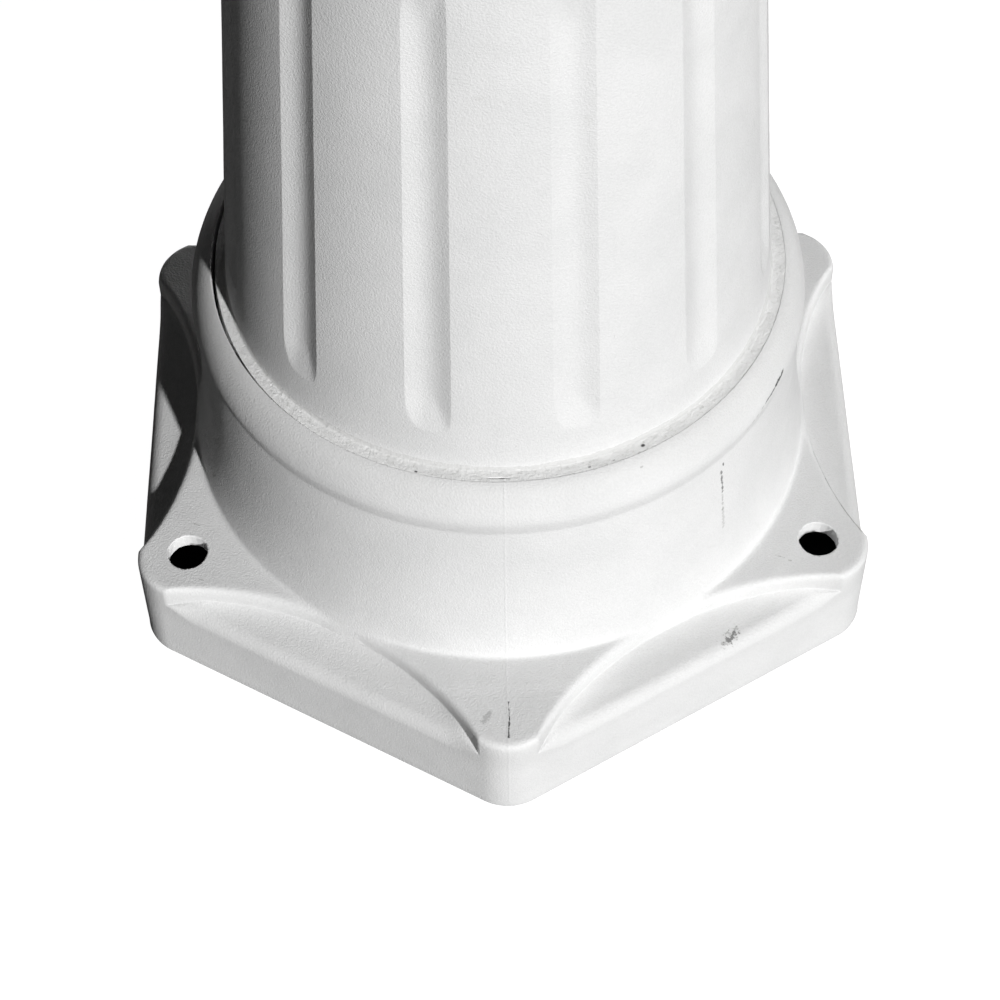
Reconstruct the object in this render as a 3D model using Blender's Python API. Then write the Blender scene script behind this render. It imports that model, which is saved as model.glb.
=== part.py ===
"""Stanchion base: a hexagonal foot moulding with a bead collar and a tapered fluted column.

The foot moulding is a hollow shell, open underneath.  Its six sides are scooped, which leaves a
raised pad at every corner.  Three of the pads are drilled for deck bolts.  The column drops into
the collar, rests on the shelf inside it and is screwed to the shelf from below.  A sealant fillet
closes the gap round the column.  A plate under the column's top takes the stanchion's screws.

Units are metres, +Z is up, and the origin is the centre of the underside.
"""
import math

import bmesh
import bpy

MM = 0.001

# Foot moulding, millimetres
ACROSS_FLATS = 255.5
CORNER_R = 17.0
WALL = 5.8
BOTTOM_CHAMFER = 1.0
LEDGE_Z = 31.0
LEDGE_ROUND = 5.0
SCOOP_ROOT_Z = 34.0
PAD_Z = 40.0
PAD_LIP = 4.0
SCOOP_MID_R = 110.2
SCOOP_ARC_R = 119.4
SCOOP_FADE = 8.0
BELL_FOOT_R = 109.3
BELL_FOOT_Z = 41.6
BELL_FILLET = 3.2
PAD_CLEAR = 0.5
BELL_PROFILE = ((108.5, 44.5), (106.0, 60.0), (103.9, 81.0), (102.6, 97.0))
BEAD_CENTRE = (94.5, 113.5)
BEAD_R = 10.0
BEAD_LOWER_HEIGHT = 19.0
BEAD_ANGLES = (-40.0, -20.0, 4.0, 28.0, 51.0, 72.0)
SOCKET_PROFILE = ((97.5, 122.3), (95.6, 112.0), (94.9, 94.0))
SHELF_Z = 94.0
SHELF_THICKNESS = 6.0
SHELF_BORE_R = 72.0
SHELF_CORNER = 0.6
ROOF_RISE = 5.0
SKIRT_DRAFT = 0.2
SCOOP_SKIN_STEP = 0.4
SCOOP_SKIN_DROP = 1.2
BOLT_HOLE_R = 7.0
BOLT_CIRCLE_R = 127.0
BOLT_ANGLES = (-150.0, -30.0, 90.0)

# Column
COLUMN_R = 91.7
COLUMN_R_Z = 123.6
COLUMN_TAPER = 0.0845
COLUMN_TOP_Z = 330.0
COLUMN_SKIN = 7.0
COLUMN_FOOT_FLANGE = 8.0
COLUMN_BORE_CORNER = (6.0, 8.0)
DECK_THICKNESS = 10.0
DECK_FLAT_R = 69.0
DECK_ROUND = ((5.0, 0.0), (1.7, 1.3), (0.3, 3.4))
FLUTES = 12
FLUTE_OFFSET = 15.0
FLUTE_HALF_ANGLE = 4.9
FLUTE_END_R = 7.5
FLUTE_DEPTH = 2.2
FLUTE_LOW_Z = 139.5
FLUTE_HIGH_Z = 312.0
FLUTE_WALL = 0.4

# Sealant ring, from its top on the column down to its foot and up its outer side
SEALANT_INNER_Z = (125.4, 119.0, 113.0)
SEALANT_OUTSIDE = ((95.4, 113.0), (97.1, 122.2), (94.8, 122.5), (93.2, 123.2), (92.3, 124.6))

# Small parts
REST_GAP = 0.3
FOOT_SCREW_CIRCLE_R = 82.0
FOOT_SCREW_COUNT = 6
FOOT_SCREW_R = 3.0
FOOT_SCREW_HEAD_R = 6.0
FOOT_SCREW_HEAD_H = 4.2
FOOT_SCREW_TIP_Z = 104.0
FOOT_HOLE_R = 3.4
WASHER_R = 8.5
WASHER_THICKNESS = 1.6
PLATE_R = 58.0
PLATE_THICKNESS = 5.0
PLATE_CHAMFER = 0.6
PLATE_SCREW_CIRCLE_R = 46.0
PLATE_SCREW_COUNT = 4
PLATE_SCREW_R = 2.5
PLATE_SCREW_HEAD_R = 4.75
PLATE_SCREW_HEAD_H = 3.4
PLATE_HOLE_R = 2.9
PLATE_SCREW_BITE = 6.5
PLATE_BLIND_DEPTH = 7.2
SOCKET_DRIVE_R = 1.9
SOCKET_DRIVE_DEPTH = 0.45
PAN_PROFILE = ((0.62, 1.0), (0.93, 0.6), (1.0, 0.25), (1.0, 0.0))
SCREW_POINT_H = 1.2
SCREW_POINT_R = 0.6

# Angles from the middle of a side to a corner, degrees
HALF_SIDE_ANGLES = (0.0, 6.0, 12.0, 18.0, 22.5, 25.3, 27.2, 30.0)
FLUTE_GRID = (-4.9, -3.7, -2.0, 2.0, 3.7, 4.9, 10.0, 20.0)
FLUTE_ROWS = (0.0, 1.0, 3.0, 7.5)
ROUND_SEGMENTS = 16
RING_SEGMENTS = 72
PLATE_SEGMENTS = 48
CUT_SEGMENTS = 24
CUT_PHASE = 3.7
CUT_OVER = 2.0
BOLT_CUT = (12.0, 5.0)


def clear_scene():
    for obj in list(bpy.data.objects):
        bpy.data.objects.remove(obj, do_unlink=True)


def make_material(name, colour, roughness, metallic):
    material = bpy.data.materials.new(name)
    material.use_nodes = True
    shader = material.node_tree.nodes["Principled BSDF"]
    shader.inputs["Base Color"].default_value = (*colour, 1.0)
    shader.inputs["Roughness"].default_value = roughness
    shader.inputs["Metallic"].default_value = metallic
    material.diffuse_color = (*colour, 1.0)
    return material


def polar(radius, angle, z):
    turn = math.radians(angle)
    return (radius * math.cos(turn) * MM, radius * math.sin(turn) * MM, z * MM)


def smooth(value):
    value = min(1.0, max(0.0, value))
    return value * value * (3.0 - 2.0 * value)


def mesh_object(name, bm, material, edge_angle=35.0):
    bmesh.ops.recalc_face_normals(bm, faces=bm.faces)
    mesh = bpy.data.meshes.new(name)
    bm.to_mesh(mesh)
    bm.free()
    obj = bpy.data.objects.new(name, mesh)
    bpy.context.scene.collection.objects.link(obj)
    mesh.shade_smooth()
    mesh.set_sharp_from_angle(angle=math.radians(edge_angle))
    mesh.materials.append(material)
    return obj


def rings_to_mesh(rings, closed_profile):
    """Skin a list of rings, each a list of points that runs once round the axis."""
    bm = bmesh.new()
    rows = [[bm.verts.new(point) for point in ring] for ring in rings]
    count = len(rings[0])
    last = len(rows) if closed_profile else len(rows) - 1
    for index in range(last):
        lower = rows[index]
        upper = rows[(index + 1) % len(rows)]
        for step in range(count):
            after = (step + 1) % count
            bm.faces.new((lower[step], lower[after], upper[after], upper[step]))
    if not closed_profile:
        bm.faces.new(rows[0])
        bm.faces.new(rows[-1])
    return bm


def lathe(name, profile, segments, material, centre=(0.0, 0.0), closed_profile=False):
    """Turn a profile of (radius, z) round the vertical line through centre."""
    rings = []
    for radius, z in profile:
        ring = []
        for step in range(segments):
            x, y, height = polar(radius, 360.0 * step / segments, z)
            ring.append((x + centre[0] * MM, y + centre[1] * MM, height))
        rings.append(ring)
    return mesh_object(name, rings_to_mesh(rings, closed_profile), material)


def round_cutter(name, centre, radius, z_low, z_high):
    """A cylinder to cut with, turned a little so that its corners miss the other mesh's edges."""
    rings = []
    for z in (z_low, z_high):
        ring = []
        for step in range(CUT_SEGMENTS):
            x, y, height = polar(radius, CUT_PHASE + 360.0 * step / CUT_SEGMENTS, z)
            ring.append((x + centre[0] * MM, y + centre[1] * MM, height))
        rings.append(ring)
    bm = rings_to_mesh(rings, False)
    bmesh.ops.recalc_face_normals(bm, faces=bm.faces)
    mesh = bpy.data.meshes.new(name)
    bm.to_mesh(mesh)
    bm.free()
    cutter = bpy.data.objects.new(name, mesh)
    bpy.context.scene.collection.objects.link(cutter)
    cutter.hide_render = True
    cutter.display_type = "WIRE"
    return cutter


def cut(obj, cutter):
    modifier = obj.modifiers.new(cutter.name, "BOOLEAN")
    modifier.operation = "DIFFERENCE"
    modifier.solver = "EXACT"
    modifier.object = cutter


def circle_points(count, radius, first_angle=0.0):
    points = []
    for index in range(count):
        turn = math.radians(first_angle + 360.0 * index / count)
        points.append((radius * math.cos(turn), radius * math.sin(turn)))
    return points


def side_angles():
    """Directions round the foot, packed closer where a side turns into a corner."""
    half = [-angle for angle in reversed(HALF_SIDE_ANGLES[1:-1])]
    sector = half + list(HALF_SIDE_ANGLES)
    return [(60.0 * side + angle, angle) for side in range(6) for angle in sector]


def wall_radius(angle):
    """Distance from the axis to the hexagon's outer wall, its corners rounded."""
    inradius = ACROSS_FLATS / 2.0
    reach = inradius - CORNER_R
    turn = math.radians(abs(angle))
    if inradius * math.tan(turn) <= reach * math.tan(math.radians(30.0)):
        return inradius / math.cos(turn)
    centre = reach / math.cos(math.radians(30.0))
    off = math.radians(30.0) - turn
    return centre * math.cos(off) + math.sqrt(CORNER_R ** 2 - (centre * math.sin(off)) ** 2)


def scoop_radius(angle):
    """Distance from the axis to the root of the scoop, or to the wall where there is none."""
    centre = SCOOP_MID_R + SCOOP_ARC_R
    turn = math.radians(abs(angle))
    under = SCOOP_ARC_R ** 2 - (centre * math.sin(turn)) ** 2
    wall = wall_radius(angle)
    if under <= 0.0:
        return wall
    return min(wall, centre * math.cos(turn) - math.sqrt(under))


def foot_outside(wall, scoop):
    """Bottom edge, side wall, rounded ledge, scoop and pad, at one direction."""
    open_part = min(1.0, (wall - scoop) / SCOOP_FADE)
    lip = max(scoop - PAD_LIP, BELL_FOOT_R + PAD_CLEAR)
    pad_left = smooth((lip - BELL_FOOT_R - PAD_CLEAR) / BELL_FILLET)
    pad_inner = min(BELL_FOOT_R + BELL_FILLET, lip - 0.3)
    return [
        (wall - BOTTOM_CHAMFER, 0.0),
        (wall, BOTTOM_CHAMFER),
        (wall, LEDGE_Z - LEDGE_ROUND),
        (wall - 0.30 * LEDGE_ROUND * open_part, LEDGE_Z - 0.30 * LEDGE_ROUND),
        (wall - LEDGE_ROUND * open_part, LEDGE_Z),
        (scoop + 0.2 * open_part, SCOOP_ROOT_Z),
        (scoop - 0.2, PAD_Z - 0.85 * PAD_LIP),
        (max(scoop - 0.33 * PAD_LIP, BELL_FOOT_R + 0.7), PAD_Z - 0.25 * PAD_LIP),
        (lip, PAD_Z),
        (pad_inner, PAD_Z + 0.9 * (1.0 - pad_left)),
        (BELL_FOOT_R - 0.1, BELL_FOOT_Z),
    ]


def bead_point(angle):
    """A point of the bead, which is a circle above its middle and a tall ellipse below it."""
    turn = math.radians(angle)
    height = BEAD_R if angle > 0.0 else BEAD_LOWER_HEIGHT
    return (BEAD_CENTRE[0] + BEAD_R * math.cos(turn), BEAD_CENTRE[1] + height * math.sin(turn))


def bead_profile():
    return [bead_point(angle) for angle in BEAD_ANGLES]


def foot_inside(wall, scoop):
    """Shelf bore, underside of the shelf, inside of the bell and of the flange."""
    shelf_under = SHELF_Z - SHELF_THICKNESS
    return [
        (SHELF_BORE_R, SHELF_Z),
        (SHELF_BORE_R, shelf_under),
        (BELL_PROFILE[2][0] - WALL - SHELF_CORNER, shelf_under),
        (BELL_PROFILE[1][0] - WALL, BELL_PROFILE[1][1]),
        (BELL_PROFILE[0][0] - WALL, PAD_Z - WALL + ROOF_RISE),
        (scoop - WALL - SCOOP_SKIN_STEP, PAD_Z - WALL),
        (scoop - WALL + SCOOP_SKIN_STEP, SCOOP_ROOT_Z - WALL - SCOOP_SKIN_DROP),
        (wall - WALL - SKIRT_DRAFT, LEDGE_Z - WALL - SKIRT_DRAFT),
        (wall - WALL, 0.0),
    ]


def foot_profile(angle):
    wall = wall_radius(angle)
    scoop = scoop_radius(angle)
    profile = foot_outside(wall, scoop)
    profile += list(BELL_PROFILE)
    profile += bead_profile()
    profile += list(SOCKET_PROFILE)
    profile += foot_inside(wall, scoop)
    return profile


def build_base(material):
    directions = side_angles()
    profiles = [foot_profile(local) for _, local in directions]
    rings = []
    for index in range(len(profiles[0])):
        ring = [polar(profile[index][0], direction, profile[index][1])
                for (direction, _), profile in zip(directions, profiles)]
        rings.append(ring)
    base = mesh_object("base_moulding", rings_to_mesh(rings, True), material)
    for index, angle in enumerate(BOLT_ANGLES):
        turn = math.radians(angle)
        centre = (BOLT_CIRCLE_R * math.cos(turn), BOLT_CIRCLE_R * math.sin(turn))
        cut(base, round_cutter(f"bolt_hole_{index}", centre, BOLT_HOLE_R,
                               PAD_Z - BOLT_CUT[0], PAD_Z + BOLT_CUT[1]))
    low_z = SHELF_Z - SHELF_THICKNESS - CUT_OVER
    for index, centre in enumerate(circle_points(FOOT_SCREW_COUNT, FOOT_SCREW_CIRCLE_R)):
        cut(base, round_cutter(f"shelf_hole_{index}", centre, FOOT_HOLE_R, low_z, SHELF_Z + CUT_OVER))
    return base


def column_radius(z):
    return COLUMN_R - COLUMN_TAPER * (z - COLUMN_R_Z)


def flute_depth(offset, z):
    """Depth of a flute at an angle from its middle; both its ends are rounded."""
    below = max(0.0, FLUTE_LOW_Z + FLUTE_END_R - z)
    above = max(0.0, z - FLUTE_HIGH_Z + FLUTE_END_R)
    away = math.hypot(offset / FLUTE_HALF_ANGLE, (below + above) / FLUTE_END_R)
    return FLUTE_DEPTH * smooth((1.0 - away) / FLUTE_WALL)


def column_ring(z):
    radius = column_radius(z)
    return [polar(radius - flute_depth(offset, z), angle, z) for angle, offset in column_angles()]


def column_angles():
    """Directions round the column, each with its offset from the middle of a flute."""
    middles = [FLUTE_OFFSET + 360.0 * flute / FLUTES for flute in range(FLUTES)]
    return [(middle + offset, offset) for middle in middles for offset in FLUTE_GRID]


def plain_ring(radius, z):
    return [polar(radius, angle, z) for angle, _ in column_angles()]


def build_column(material):
    foot_z = SHELF_Z + REST_GAP
    flange_z = foot_z + COLUMN_FOOT_FLANGE
    under_z = COLUMN_TOP_Z - DECK_THICKNESS
    inner_top_r = column_radius(under_z) - COLUMN_SKIN
    rings = [
        plain_ring(inner_top_r - COLUMN_BORE_CORNER[0], under_z),
        plain_ring(inner_top_r, under_z - COLUMN_BORE_CORNER[1]),
        plain_ring(column_radius(flange_z) - COLUMN_SKIN, flange_z),
        plain_ring(SHELF_BORE_R, flange_z),
        plain_ring(SHELF_BORE_R, foot_z),
        plain_ring(column_radius(foot_z), foot_z),
        plain_ring(column_radius(COLUMN_R_Z), COLUMN_R_Z),
    ]
    rings += [column_ring(FLUTE_LOW_Z + row) for row in FLUTE_ROWS]
    rings += [column_ring(FLUTE_HIGH_Z - row) for row in reversed(FLUTE_ROWS)]
    for down, inset in DECK_ROUND:
        z = COLUMN_TOP_Z - down
        rings.append(plain_ring(column_radius(z) - inset, z))
    rings.append(plain_ring(DECK_FLAT_R, COLUMN_TOP_Z))
    column = mesh_object("fluted_column", rings_to_mesh(rings, False), material)
    for index, centre in enumerate(circle_points(FOOT_SCREW_COUNT, FOOT_SCREW_CIRCLE_R)):
        cut(column, round_cutter(f"column_hole_{index}", centre, FOOT_HOLE_R,
                                 foot_z - CUT_OVER, flange_z + CUT_OVER))
    for index, centre in enumerate(circle_points(PLATE_SCREW_COUNT, PLATE_SCREW_CIRCLE_R, 45.0)):
        cut(column, round_cutter(f"deck_hole_{index}", centre, PLATE_HOLE_R,
                                 under_z - CUT_OVER, under_z + PLATE_BLIND_DEPTH))
    return column


def build_sealant(material):
    """The ring in the gap round the column: a flat strip that curves up on to the column."""
    inside = [(column_radius(z) + REST_GAP, z) for z in SEALANT_INNER_Z]
    return lathe("seam_sealant", inside + list(SEALANT_OUTSIDE), RING_SEGMENTS, material, closed_profile=True)


def build_plate(material):
    top_z = COLUMN_TOP_Z - DECK_THICKNESS - REST_GAP
    low_z = top_z - PLATE_THICKNESS
    profile = (
        (PLATE_R - PLATE_CHAMFER, low_z),
        (PLATE_R, low_z + PLATE_CHAMFER),
        (PLATE_R, top_z - PLATE_CHAMFER),
        (PLATE_R - PLATE_CHAMFER, top_z),
    )
    plate = lathe("backing_plate", profile, PLATE_SEGMENTS, material)
    for index, centre in enumerate(circle_points(PLATE_SCREW_COUNT, PLATE_SCREW_CIRCLE_R, 45.0)):
        cut(plate, round_cutter(f"plate_hole_{index}", centre, PLATE_HOLE_R,
                                low_z - CUT_OVER, top_z + CUT_OVER))
    return plate


def build_screw(name, centre, head_z, tip_z, head, shank_r, material):
    """A pan-head screw pointing up; head is (radius, height) and head_z its bearing face."""
    head_r, head_h = head
    low_z = head_z - head_h
    profile = [(SOCKET_DRIVE_R, low_z + SOCKET_DRIVE_DEPTH * head_h), (SOCKET_DRIVE_R, low_z)]
    profile += [(across * head_r, head_z - down * head_h) for across, down in PAN_PROFILE]
    profile += [(shank_r, head_z), (shank_r, tip_z - SCREW_POINT_H), (SCREW_POINT_R * shank_r, tip_z)]
    return lathe(name, profile, ROUND_SEGMENTS, material, centre)


def build_washer(name, centre, top_z, material):
    low_z = top_z - WASHER_THICKNESS
    profile = ((FOOT_HOLE_R, low_z), (WASHER_R, low_z), (WASHER_R, top_z), (FOOT_HOLE_R, top_z))
    return lathe(name, profile, ROUND_SEGMENTS, material, centre, closed_profile=True)


def build_foot_fixings(steel, zinc):
    washer_top = SHELF_Z - SHELF_THICKNESS - REST_GAP
    head_z = washer_top - WASHER_THICKNESS - REST_GAP
    head = (FOOT_SCREW_HEAD_R, FOOT_SCREW_HEAD_H)
    for index, centre in enumerate(circle_points(FOOT_SCREW_COUNT, FOOT_SCREW_CIRCLE_R), 1):
        build_washer(f"foot_washer_{index}", centre, washer_top, zinc)
        build_screw(f"foot_screw_{index}", centre, head_z, FOOT_SCREW_TIP_Z, head, FOOT_SCREW_R, steel)


def build_plate_screws(steel):
    head_z = COLUMN_TOP_Z - DECK_THICKNESS - 2.0 * REST_GAP - PLATE_THICKNESS
    tip_z = COLUMN_TOP_Z - DECK_THICKNESS + PLATE_SCREW_BITE
    head = (PLATE_SCREW_HEAD_R, PLATE_SCREW_HEAD_H)
    for index, centre in enumerate(circle_points(PLATE_SCREW_COUNT, PLATE_SCREW_CIRCLE_R, 45.0), 1):
        build_screw(f"plate_screw_{index}", centre, head_z, tip_z, head, PLATE_SCREW_R, steel)


def main():
    clear_scene()
    polyethylene = make_material("white_polyethylene", (0.86, 0.86, 0.85), 0.5, 0.0)
    column_white = make_material("column_polyethylene", (0.85, 0.85, 0.84), 0.52, 0.0)
    sealant = make_material("white_sealant", (0.80, 0.80, 0.78), 0.65, 0.0)
    aluminium = make_material("plate_aluminium", (0.72, 0.73, 0.74), 0.4, 1.0)
    steel = make_material("screw_stainless", (0.62, 0.61, 0.59), 0.3, 1.0)
    zinc = make_material("washer_stainless", (0.66, 0.66, 0.65), 0.35, 1.0)
    build_base(polyethylene)
    build_column(column_white)
    build_sealant(sealant)
    build_plate(aluminium)
    build_foot_fixings(steel, zinc)
    build_plate_screws(steel)


main()
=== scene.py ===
"""Looks of the stanchion base: fine meshes, materials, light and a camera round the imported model.

Lengths are millimetres in the tables and metres in the scene.  A "profile" is a list of (radius, z)
pairs at one direction, and a mesh is made by turning such profiles round the upright axis.
"""
import math

import bmesh
import bpy
import numpy as np
from mathutils import Matrix, Vector, noise


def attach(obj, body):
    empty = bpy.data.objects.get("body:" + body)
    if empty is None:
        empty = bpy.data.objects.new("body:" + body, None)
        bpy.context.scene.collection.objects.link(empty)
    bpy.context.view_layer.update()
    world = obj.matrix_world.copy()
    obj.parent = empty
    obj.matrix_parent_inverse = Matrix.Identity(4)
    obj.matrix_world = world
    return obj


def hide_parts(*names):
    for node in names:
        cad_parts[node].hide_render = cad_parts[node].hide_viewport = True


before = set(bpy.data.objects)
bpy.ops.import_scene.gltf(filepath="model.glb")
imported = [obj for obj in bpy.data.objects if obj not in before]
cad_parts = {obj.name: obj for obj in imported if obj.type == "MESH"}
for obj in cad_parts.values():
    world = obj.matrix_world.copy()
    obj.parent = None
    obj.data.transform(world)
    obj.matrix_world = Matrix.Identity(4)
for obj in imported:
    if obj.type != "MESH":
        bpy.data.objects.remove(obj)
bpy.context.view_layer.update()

MM = 0.001
FOLD_MERGE = 0.0006      # points nearer than this, in millimetres, are one point after a cut

# The foot moulding, as in the CAD
INRADIUS = 127.75
CORNER_R = 17.0
WALL = 5.8
BOTTOM_ROUND = 1.0
LEDGE_Z = 31.0
LEDGE_ROUND = 5.0
LEDGE_FADE = 9.0
FLOOR_RISE = 3.0
FLOOR_RISE_SPAN = 6.0
SCOOP_MID_R = 110.2
SCOOP_ARC_R = 119.4
PAD_Z = 40.0
LIP_R = 2.8
CORNER_LIP_R = 2.0
PAD_SOFTNESS = 1.1
BELL_PROFILE = ((108.5, 44.5), (106.0, 60.0), (104.1, 81.0), (103.0, 103.0))
BELL_JOIN_Z = 50.0
BEAD_CENTRE = (94.3, 109.8)
BEAD_R = 10.0
BEAD_UPPER_HEIGHT = 13.8
BEAD_HIGH_ANGLE = 76.0
BEAD_LOWER_HEIGHT = 6.3
BEAD_LOWER_DROP = 1.3
BEAD_LOWER_POWER = 1.4
BEAD_CREASE = 0.22
BEAD_CREASE_Z = BEAD_CENTRE[1] - BEAD_LOWER_HEIGHT
GROOVE_WALL = ((96.62, 123.17), (96.46, 123.0), (96.38, 122.6), (96.25, 119.0),
               (95.5, 112.0), (95.0, 103.0), (94.9, 94.6), (94.5, 94.1))
SHELF_Z = 94.0
SHELF_THICKNESS = 6.0
SHELF_BORE_R = 72.0
BOLT_HOLE_R = 7.0
BOLT_CIRCLE_R = 127.0
BOLT_ANGLES = (-150.0, -30.0, 90.0)
SKIN_INSET = 0.16
SEAM_LINE = 0.06
FOOT_RIPPLES = ((0.07, 14, 22.0, 90.0), (0.025, 24, 5.0, 14.0))

# The column, as in the CAD
COLUMN_R = 91.7
COLUMN_R_Z = 123.6
COLUMN_TAPER = 0.0845
COLUMN_TOP_Z = 330.0
COLUMN_SKIN = 7.0
COLUMN_FOOT_FLANGE = 8.0
DECK_THICKNESS = 10.0
FLUTES = 12
FLUTE_OFFSET = 15.0
FLUTE_HALF_ANGLE = 4.75
FLUTE_DEPTH = 1.95
FLUTE_CRISPNESS = 0.7
FLUTE_END = 16.0
FLUTE_END_POWERS = (2.6, 5.0)
FLUTE_LOW_Z = 138.3
FLUTE_HIGH_Z = 312.0
COLUMN_RIPPLES = ((0.06, 14, 25.0, 110.0), (0.012, 24, 5.0, 14.0))

# Small parts, as in the CAD
GAP = 0.3
FOOT_SCREW_CIRCLE_R = 82.0
FOOT_SCREW_COUNT = 6
FOOT_SCREW = {"shank": 3.0, "head": 6.0, "height": 4.2, "pitch": 1.8}
FOOT_SCREW_TIP_Z = 104.0
FOOT_HOLE_R = 3.4
WASHER_R = 8.5
WASHER_THICKNESS = 1.6
PLATE_R = 58.0
PLATE_THICKNESS = 5.0
PLATE_SCREW_CIRCLE_R = 46.0
PLATE_SCREW_COUNT = 4
PLATE_SCREW_START = 45.0
PLATE_SCREW = {"shank": 2.5, "head": 4.75, "height": 3.4, "pitch": 1.0}
PLATE_HOLE_R = 2.9
PLATE_SCREW_BITE = 6.5
PLATE_BLIND_DEPTH = 7.2

# Camera, millimetres and degrees
CAMERA_TARGET = (3.4, 0.0, -18.5)
CAMERA_DISTANCE = 976.8
CAMERA_ELEVATION = 54.28
CAMERA_TURN = -0.953
CAMERA_ROLL = -0.421
CAMERA_LENS = 92.13
CAMERA_SENSOR = 36.0
CAMERA_SHIFT = (-0.0097, -0.0046)
FLOOR_Z = -0.2
FLOOR_DIRECTIONS = np.linspace(0.0, 360.0, 120, endpoint=False)

# Far lights: direction and elevation in degrees, strength, and apparent width in degrees
KEY_LIGHT = (-64.2, 27.9, 4.75, 2.0)
RIGHT_FILL = (43.0, 2.0, 1.25, 20.0)
REAR_FILL = (80.0, 2.0, 1.2, 10.0)
WORLD_STRENGTH = 0.02

# Paleness of the mouldings, and how strong their grain is
FOOT_TONE = 0.652
COLUMN_TONE = 0.633
GRAIN = 1.0
SPECKS = 0.80

rng = np.random.default_rng(7)


# ---------------------------------------------------------------- curves and meshes

def smooth(value):
    value = np.clip(value, 0.0, 1.0)
    return value * value * (3.0 - 2.0 * value)


def ripple_waves(count, shortest, longest):
    """Random plane waves, for the slight unevenness of a moulded surface."""
    waves = []
    for _ in range(count):
        direction = rng.normal(size=3)
        direction /= np.linalg.norm(direction)
        length = rng.uniform(shortest, longest)
        waves.append((direction * 2.0 * math.pi / length, rng.uniform(0.0, 2.0 * math.pi)))
    return waves


def ripple(waves, points):
    """Height of the waves, about -1 to 1, at an array of points in millimetres."""
    total = np.zeros(points.shape[:-1])
    for vector, phase in waves:
        total += np.sin(points @ vector + phase)
    return total / math.sqrt(2.0 * len(waves)) / 1.6


def unevenness(points, ripples):
    """Height of several sets of waves: the height, number, shortest and longest of each."""
    return sum(tall * ripple(ripple_waves(*waves), points) for tall, *waves in ripples)


def resample(line, count, bias=1.0):
    """Points spread along a line; a bias above 1 packs them towards its start."""
    steps = np.hypot(*np.diff(line, axis=0).T)
    along = np.concatenate([[0.0], np.cumsum(steps)])
    wanted = np.linspace(0.0, 1.0, count) ** bias * along[-1]
    return np.column_stack([np.interp(wanted, along, line[:, 0]), np.interp(wanted, along, line[:, 1])])


def soften(line, step, sigma, keep):
    """Round off a line's corners over a length sigma, but leave its first stretch, keep, crisp."""
    length = np.hypot(*np.diff(line, axis=0).T).sum()
    fine = resample(line, max(8, int(length / step)))
    reach = int(3.0 * sigma / step)
    kernel = np.exp(-0.5 * (np.arange(-reach, reach + 1) * step / sigma) ** 2)
    kernel /= kernel.sum()
    soft = np.empty_like(fine)
    for axis in range(2):
        padded = np.pad(fine[:, axis], reach, mode="reflect", reflect_type="odd")
        soft[:, axis] = np.convolve(padded, kernel, mode="valid")
    weight = smooth((np.arange(len(fine)) * step - 0.3) / keep)[:, None]
    return fine * (1.0 - weight) + soft * weight


def arc(centre, radius, first, last, count):
    turn = np.radians(np.linspace(first, last, count))
    return np.column_stack([centre[0] + radius * np.cos(turn), centre[1] + radius * np.sin(turn)])


def profile_normals(profiles):
    """Outward normals in the (radius, z) plane, for an array of directions x points x 2."""
    tangent = np.gradient(profiles, axis=1)
    length = np.hypot(tangent[..., 0], tangent[..., 1])
    flat = length < 1e-6
    length[flat] = 1.0
    normal = np.stack([tangent[..., 1] / length, -tangent[..., 0] / length], axis=-1)
    normal[flat] = (1.0, 0.0)
    return normal


def to_space(profiles, angles):
    """Turn profiles (directions x points x 2) into points (directions x points x 3), millimetres."""
    turn = np.radians(angles)[:, None]
    radius = profiles[..., 0]
    return np.stack([radius * np.cos(turn), radius * np.sin(turn), profiles[..., 1]], axis=-1)


def finish_mesh(name, bm, slot, replaced, merge=0.004):
    bmesh.ops.remove_doubles(bm, verts=bm.verts, dist=merge * MM)
    bmesh.ops.recalc_face_normals(bm, faces=bm.faces)
    mesh = bpy.data.meshes.new(name)
    bm.to_mesh(mesh)
    bm.free()
    mesh.shade_smooth()
    piece = bpy.data.objects.new(name, mesh)
    bpy.context.scene.collection.objects.link(piece)
    if slot:
        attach(piece, "root")
        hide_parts(*replaced)
    return piece


def skin(points, closed_profile):
    """A bmesh over points (directions x points x 3), closed round the axis and, if asked, along the profile."""
    around, along = points.shape[:2]
    bm = bmesh.new()
    verts = [bm.verts.new(point) for point in (points.reshape(-1, 3) * MM).tolist()]
    last = along if closed_profile else along - 1
    for i in range(around):
        here = i * along
        there = (i + 1) % around * along
        for j in range(last):
            k = (j + 1) % along
            bm.faces.new((verts[here + j], verts[there + j], verts[there + k], verts[here + k]))
    return bm


def move(bm, x, y, z=0.0):
    bmesh.ops.translate(bm, verts=bm.verts, vec=(x * MM, y * MM, z * MM))
    return bm


def clear_folds(mesh):
    """Remove the slivers that a cut leaves: points that coincide, and triangles folded flat on each other."""
    bm = bmesh.new()
    bm.from_mesh(mesh)
    bmesh.ops.remove_doubles(bm, verts=bm.verts, dist=FOLD_MERGE * MM)
    bmesh.ops.triangulate(bm, faces=bm.faces)
    corners = {}
    for face in bm.faces:
        corners.setdefault(frozenset(vert.index for vert in face.verts), []).append(face)
    folded = [face for faces in corners.values() if len(faces) == 2 for face in faces]
    bmesh.ops.delete(bm, geom=folded, context="FACES")
    bm.to_mesh(mesh)
    bm.free()
    mesh.shade_smooth()


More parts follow.
